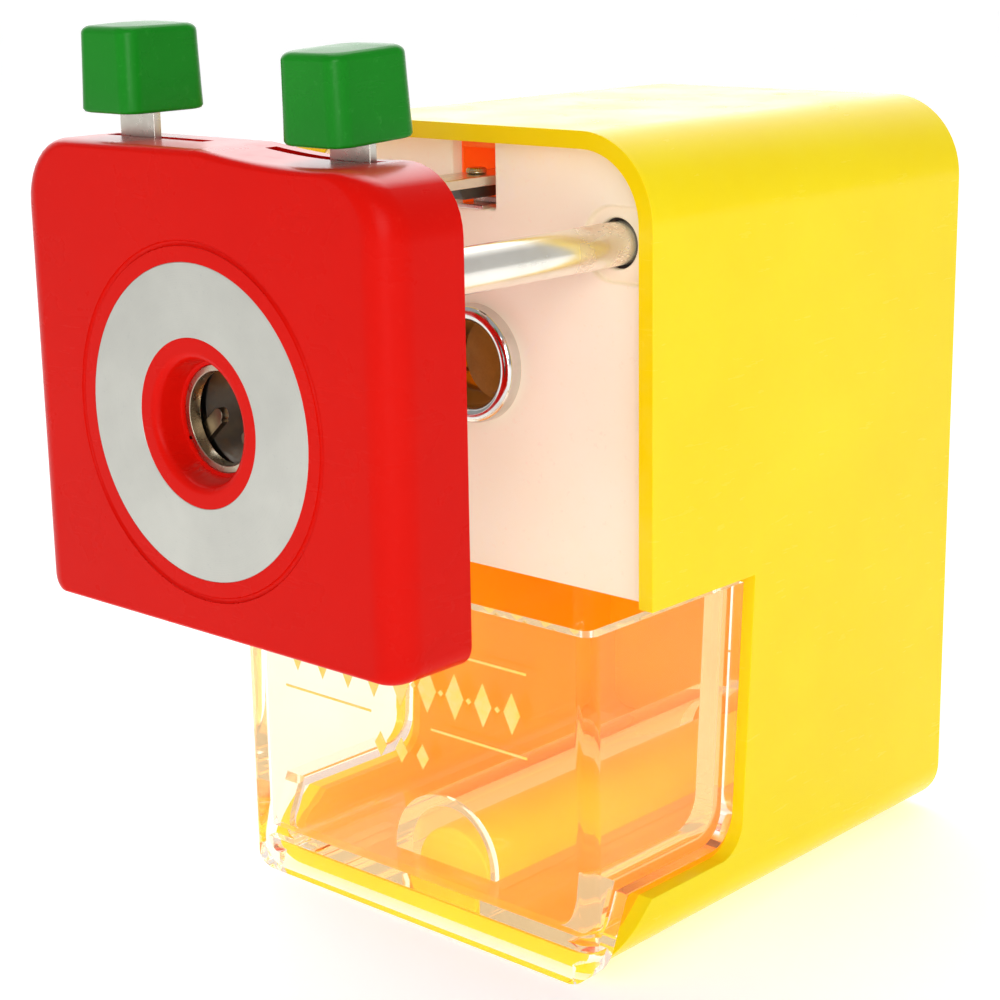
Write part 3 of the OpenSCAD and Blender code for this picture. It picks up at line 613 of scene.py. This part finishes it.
def chuck_face():
    """Face plate: rounded most at its upright front edges, and hollow behind."""
    low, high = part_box("face_plate")
    back_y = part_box("face_back_plate")[0].y
    chuck_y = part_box("chuck_base")[0].y
    side_r, flat_r, wall, edge = 4.4 * MM, 1.0 * MM, 2.4 * MM, 0.5 * MM
    edge_steps = 8
    outer = plate_outline(low, high, 0, 0, 9.5 * MM, 3 * MM)
    front = plate_outline(low, high, side_r, flat_r, 7 * MM, 1.2 * MM)
    rim = plate_outline(low, high, edge, edge, 9 * MM, 2.5 * MM)
    inner = plate_outline(low, high, wall, wall, 7.1 * MM, 1 * MM)
    form = bmesh.new()
    rows = []
    for k in range(edge_steps + 1):
        turn = math.radians(90 * k / edge_steps)
        row = []
        for f, o in zip(front, outer):
            reach = min(side_r, (o - f).length)
            at = f.lerp(o, math.sin(turn))
            row.append(form.verts.new((at.x, low.y + reach * (1 - math.cos(turn)), at.y)))
        rows.append(row)
    for points, y in ((outer, high.y - edge), (rim, high.y), (inner, high.y),
                      (inner, low.y + wall)):
        rows.append([form.verts.new((p.x, y, p.y)) for p in points])
    skin(form, rows)
    form.faces.new(rows[0])
    form.faces.new(rows[-1])
    plate = link("chuck_face_plate", mesh_of(form, "chuck_face_plate"), "chuck_plate",
                 red)

    def turned(profile, x=0.0, z=bore_z, steps=96, ring=False):
        solid = bpy.data.objects.new("cutter", lathe("cutter", profile, x, z, steps, ring))
        bpy.context.scene.collection.objects.link(solid)
        return solid

    boss_r, post_r = 13.5 * MM, 3 * MM
    start = low.y + wall / 2
    added = [turned([(0, start), (boss_r, start), (boss_r, chuck_y), (0, chuck_y)])]
    screw_low, screw_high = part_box("face_screws")
    head_r = 2.2 * MM
    for x in (screw_low.x + head_r, screw_high.x - head_r):
        for z in (screw_low.z + head_r, screw_high.z - head_r):
            added.append(turned([(0, start), (post_r, start), (post_r, back_y), (0, back_y)],
                                x, z, 32))
    combined(plate, "UNION", *added)

    disc_r = (disc_high.x - disc_low.x) / 2
    hole_r, mouth_r, throat_r, seat_r = 10.9 * MM, 9.2 * MM, 7.3 * MM, 7.0 * MM
    depth, skim = 3.8 * MM, 0.05 * MM
    lip = [(mouth_r - 1.2 * MM * math.sin(math.radians(a)),
            low.y + skim + 1.3 * MM * (1 - math.cos(math.radians(a)))) for a in range(0, 91, 15)]
    bore = turned([
        (0, low.y - MM), (disc_r, low.y - MM), (disc_r, disc_high.y), (hole_r, disc_high.y),
        (hole_r, low.y + skim), *lip, (throat_r + 0.2 * MM, low.y + depth - 0.1 * MM),
        (throat_r, low.y + depth),
        (seat_r, low.y + depth), (seat_r, chuck_y + MM), (0, chuck_y + MM)])
    groove_r, fine = 22.7 * MM, 0.4 * MM
    groove = turned([(groove_r + fine * math.cos(math.tau * k / 12),
                      low.y + fine * math.sin(math.tau * k / 12)) for k in range(12)], ring=True)
    near, far, room = 5.0 * MM, 24.2 * MM, 0.4 * MM
    slots = []
    for side, x0, x1 in (("left", -far, -near), ("right", near, far)):
        lever_low, lever_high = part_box("lever_" + side)
        slots.append(block((x0, lever_low.y - room, high.z - wall - MM),
                           (x1, lever_high.y + room, high.z + MM)))
    combined(plate, "DIFFERENCE", bore, groove, *slots)
    softened(plate, 0.12 * MM, 2, 50)
    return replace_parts(plate, "face_plate")


def spiral_cutter():
    """Cutter with sharp helical ridges that lean round its tilted axis."""
    joint = joint_of("cutter_spin")
    start, end, core, tip, bore = 7.1 * MM, 27.5 * MM, 5.3 * MM, 6.0 * MM, 1.56 * MM
    ridges, twist, levels = 14, math.radians(112), 44
    origin = Vector(joint["pos_m"])
    axis = Vector(joint["axis"]).normalized()
    out = Vector((1, 0, 0))
    other = axis.cross(out)
    shape = [(0.0, tip), (0.10, tip - 0.08 * MM), (0.42, core), (0.78, core)]
    form = bmesh.new()

    def ring(along, turn, scale=1.0, hole=False):
        row = []
        for i in range(ridges):
            for share, radius in shape:
                angle = math.tau * (i + share) / ridges + turn
                r = bore if hole else radius * scale
                row.append(form.verts.new(origin + axis * along + r * (
                    out * math.cos(angle) + other * math.sin(angle))))
        return row

    rows = [ring(start, 0.0, hole=True), ring(start, 0.0, 0.86)]
    for k in range(levels + 1):
        share = k / levels
        rows.append(ring(start + 0.4 * MM + (end - start - 0.8 * MM) * share, twist * share))
    rows += [ring(end, twist, 0.86), ring(end, twist, hole=True)]
    skin(form, [*rows, rows[0]])
    piece = stands_for("spiral_cutter", mesh_of(form, "spiral_cutter"), tool_steel,
                       "helical_cutter")
    return softened(piece, 0, sharp=28)


def crank_handle():
    """Pear-shaped grip that turns on the crank's pin."""
    low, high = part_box("handle_knob")
    full = (high.x - low.x) / 2
    length = high.y - low.y
    curve = [(0.00, 0.66), (0.01, 0.72), (0.03, 0.75), (0.07, 0.75), (0.09, 0.72), (0.11, 0.68),
             (0.16, 0.69), (0.30, 0.76), (0.45, 0.85), (0.60, 0.93), (0.72, 0.98), (0.80, 1.0)]
    profile = [(full * r, low.y + length * s) for s, r in curve]
    nose = length * 0.20
    profile += [(full * math.cos(math.radians(a)),
                 high.y - nose * (1 - math.sin(math.radians(a)))) for a in range(10, 90, 8)]
    profile.append((0, high.y))
    bore, bore_end = 2.06 * MM, high.y - 3.5 * MM
    profile = [(0, bore_end), (bore, bore_end), (bore, low.y)] + profile
    centre_z = (low.z + high.z) / 2
    form = lathe("crank_handle", profile, 0.0, centre_z, 72, ring=False)
    piece = stands_for("crank_handle", form, green, "handle_knob")
    return softened(piece, 0, sharp=40)


def drawer_print():
    """Plain printed ornament on the drawer's front: two rules and rows of lozenges."""
    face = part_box("drawer")[0].y
    thick = 0.06 * MM
    form = bmesh.new()

    def flat(points):
        near = [form.verts.new((x, face - thick, z)) for x, z in points]
        far = [form.verts.new((x, face + thick, z)) for x, z in points]
        skin(form, [near, far])
        form.faces.new(near)
        form.faces.new(far)

    def lozenge(x, z, wide, tall):
        flat([(x - wide, z), (x, z - tall), (x + wide, z), (x, z + tall)])

    left, right = -25 * MM, 23 * MM
    middle = (left + right) / 2
    rule_h, row_z, count = 0.35 * MM, 37.6 * MM, 9
    for rule_z, gap in ((31.6 * MM, 6 * MM), (43.6 * MM, 0.0)):
        for start, end in ((left, middle - gap), (middle + gap, right)):
            flat([(start, rule_z), (end, rule_z), (end, rule_z + rule_h),
                  (start, rule_z + rule_h)])
    half = (count - 1) / 2
    for i in range(count):
        x = left + (right - left) * (i + 0.5) / count
        size = 1.0 + 0.25 * (1 - abs(i - half) / half)
        lozenge(x, row_z, 1.5 * MM * size, 3.0 * MM * size)
    for i in range(count - 1):
        lozenge(left + (right - left) * (i + 1) / count, row_z, 0.5 * MM, 0.5 * MM)
    for i in (-1, 0, 1):
        lozenge(middle + i * 4.2 * MM, 27.2 * MM, 1.2 * MM, 1.9 * MM)
    link("drawer_ornament", mesh_of(form, "drawer_ornament"), "drawer_box",
         print_gold)


# ---- Case ----

refined("outer_shell", "case_shell", yellow, 0.7 * MM, 4)
refined("rear_cover", "case_rear_cover", yellow, 0.5 * MM)
refined("front_panel", "case_front_panel", cream, 0.35 * MM)
refined("bay_liner", "drawer_bay_liner", orange, 0.3 * MM)
refined("clamp_socket", "clamp_bar_socket", hump_yellow, 0.5 * MM)
refined("gear_frame", "case_gear_frame", orange, 0.3 * MM)
refined("latch_housing", "strip_housing", notch_red, 0.3 * MM)
refined("catch_leaf", "catch_leaf_spring", plated, 0.1 * MM, 2)
refined("pencil_ferrule", "pencil_entry_ferrule", polished, 0.1 * MM, 2)
refined("ring_gear", "fixed_ring_gear", cream, 0.12 * MM, 2)
refined("rear_bush", "shaft_bush", plated, 0.25 * MM)
refined("guide_bush_left", "tube_bush_left", black, 0.25 * MM)
refined("guide_bush_right", "tube_bush_right", black, 0.25 * MM)
screws("case_screws", "cover_screws", 2.7 * MM, 1.5 * MM, 1.5 * MM)
for side in ("left", "right"):
    return_coil(side)
refined("rubber_feet", "case_feet", rubber, 0.3 * MM)

# ---- Face plate ----

chuck_face()
refined("face_back_plate", "chuck_back_plate", red, 0.4 * MM)
refined("trim_disc", "bore_trim_disc", foil, 0.12 * MM, 2)
refined("bore_cup", "bore_entry_cup", cup_steel, 0.12 * MM, 2)
refined("chuck_base", "claw_base_plate", plated, 0.12 * MM, 2)
refined("chuck_hub", "lever_hub", dark_steel, 0.12 * MM, 2)
refined("lever_spring", "lever_return_spring", plated, 0)
refined("guide_tube_left", "slide_tube_left", tube_steel, 0.12 * MM, 2)
refined("guide_tube_right", "slide_tube_right", tube_steel, 0.12 * MM, 2)
refined("slide_strip", "catch_strip", bar_steel, 0.15 * MM, 2)
refined("catch_dog", "catch_block", dark_steel, 0.2 * MM, 2)
refined("strip_rivet", "catch_rivet", cup_steel, 0.6 * MM, 4)
screws("face_screws", "back_plate_screws", 2.2 * MM, 1.0 * MM, 1.25 * MM)
refined("lever_left", "pinch_lever_left", bar_steel, 0.15 * MM, 2)
refined("lever_right", "pinch_lever_right", bar_steel, 0.15 * MM, 2)
finger_knob("left")
finger_knob("right")
for side in ("top", "left", "right"):
    refined("claw_" + side, "grip_claw_" + side, claw_steel, 0.12 * MM, 2)

# ---- Crank and cutter ----

refined("cutter_carrier", "cutter_cage", zinc, 0.3 * MM)
refined("cutter_axle", "cutter_pin", plated, 0.2 * MM, 2)
refined("cutter_pinion", "cutter_drive_pinion", tool_steel, 0.12 * MM, 2)
spiral_cutter()
refined("crank_shaft", "crank_axle", plated, 0.25 * MM)
refined("crank_arm", "crank_bar", plated, 0.3 * MM)
refined("crank_nut", "crank_hex_nut", plated, 0.3 * MM)
refined("handle_spindle", "handle_pin", plated, 0.2 * MM)
crank_handle()

# ---- Drawer ----

refined("drawer", "shavings_drawer", clear_plastic, 0.5 * MM, 3)
drawer_print()

# ---- Floor, light and camera ----

form = bmesh.new()
bmesh.ops.create_grid(form, x_segments=1, y_segments=1, size=3.0)
floor = bpy.data.objects.new("floor", mesh_of(form, "floor"))
bpy.context.scene.collection.objects.link(floor)
floor_paper, tree, bsdf, _ = shader("floor_paper")
tone = mixed(tree, noise(tree, 3, 3), (0.80, 0.80, 0.80), (0.84, 0.84, 0.84))
tree.links.new(tone, bsdf.inputs["Base Color"])
tree.links.new(tone, bsdf.inputs["Emission Color"])
bsdf.inputs["Emission Strength"].default_value = 0.52
tree.links.new(remap(tree, noise(tree, 40, 3), 0.3, 0.7, 0.75, 0.9), bsdf.inputs["Roughness"])
floor.data.materials.append(floor_paper)

world = bpy.data.worlds.new("studio")
bpy.context.scene.world = world
world.use_nodes = True
sky = world.node_tree
sky.nodes.clear()
BRIGHT_WALL = (-0.68, 0.70, 0.20)                # one bright wall, behind on the left
DIM, BRIGHT, SEEN, SEEN_THROUGH = 0.40, 1.85, 1.1, 0.9
toward = add(sky, "ShaderNodeTexCoord").outputs["Generated"]
facing = add(sky, "ShaderNodeVectorMath", {0: toward, 1: BRIGHT_WALL},
             operation="DOT_PRODUCT").outputs["Value"]
glow = remap(sky, facing, 0.45, 0.95, DIM, BRIGHT)
rays = add(sky, "ShaderNodeLightPath")
through = sums(sky, "GREATER_THAN", rays.outputs["Transmission Depth"], 0.5)
lit = add(sky, "ShaderNodeBackground", {
    0: (1.0, 1.0, 1.0, 1.0), 1: remap(sky, through, 0.0, 1.0, glow, SEEN_THROUGH)})
seen = add(sky, "ShaderNodeBackground", {0: (1.0, 1.0, 1.0, 1.0), 1: SEEN})
both = add(sky, "ShaderNodeMixShader", {
    0: rays.outputs["Is Camera Ray"], 1: lit.outputs[0], 2: seen.outputs[0]})
add(sky, "ShaderNodeOutputWorld", {0: both.outputs[0]})


def lamp(name, place_at, look_at, size, power):
    data = bpy.data.lights.new(name, "AREA")
    data.shape = "RECTANGLE"
    data.size, data.size_y = size
    data.energy = power
    lamp_object = bpy.data.objects.new(name, data)
    bpy.context.scene.collection.objects.link(lamp_object)
    lamp_object.location = place_at
    aim = Vector(look_at) - Vector(place_at)
    lamp_object.rotation_mode = "QUATERNION"
    lamp_object.rotation_quaternion = aim.to_track_quat("-Z", "Y")


middle = (0.0, 0.0, 0.06)
lamp("key_lamp", (0.62, -0.60, 0.42), middle, (0.45, 0.45), 2.0)
lamp("low_lamp", (0.45, -0.62, 0.20), (0.0, -0.02, 0.03), (0.3, 0.3), 0.9)
lamp("top_lamp", (-0.2, 0.25, 0.95), middle, (0.7, 0.7), 3.0)

cycles = bpy.context.scene.cycles                # the drawer's thick walls need many bounces
cycles.max_bounces = 24
cycles.transmission_bounces = 24
cycles.glossy_bounces = 12
cycles.transparent_max_bounces = 16

AZIMUTH, ELEVATION, ROLL = (math.radians(a) for a in (42.39, 14.454, -0.943))
FOCAL = 2.2204                                   # focal length over the picture's width
EYE = (0.210936, -0.260675, 0.140758)
forward = Vector((-math.sin(AZIMUTH) * math.cos(ELEVATION),
                  math.cos(AZIMUTH) * math.cos(ELEVATION), -math.sin(ELEVATION)))
level = Vector((math.cos(AZIMUTH), math.sin(AZIMUTH), 0.0))
upward = level.cross(forward)
right = level * math.cos(ROLL) + upward * math.sin(ROLL)
top = upward * math.cos(ROLL) - level * math.sin(ROLL)
camera_data = bpy.data.cameras.new("camera")
camera_data.sensor_width = 36.0
camera_data.lens = FOCAL * camera_data.sensor_width
camera_data.clip_start, camera_data.clip_end = 0.01, 10.0
camera = bpy.data.objects.new("camera", camera_data)
bpy.context.scene.collection.objects.link(camera)
camera.matrix_world = Matrix((
    (right.x, top.x, -forward.x, EYE[0]), (right.y, top.y, -forward.y, EYE[1]),
    (right.z, top.z, -forward.z, EYE[2]), (0, 0, 0, 1)))
bpy.context.scene.camera = camera
bpy.context.scene.view_settings.view_transform = "Standard"
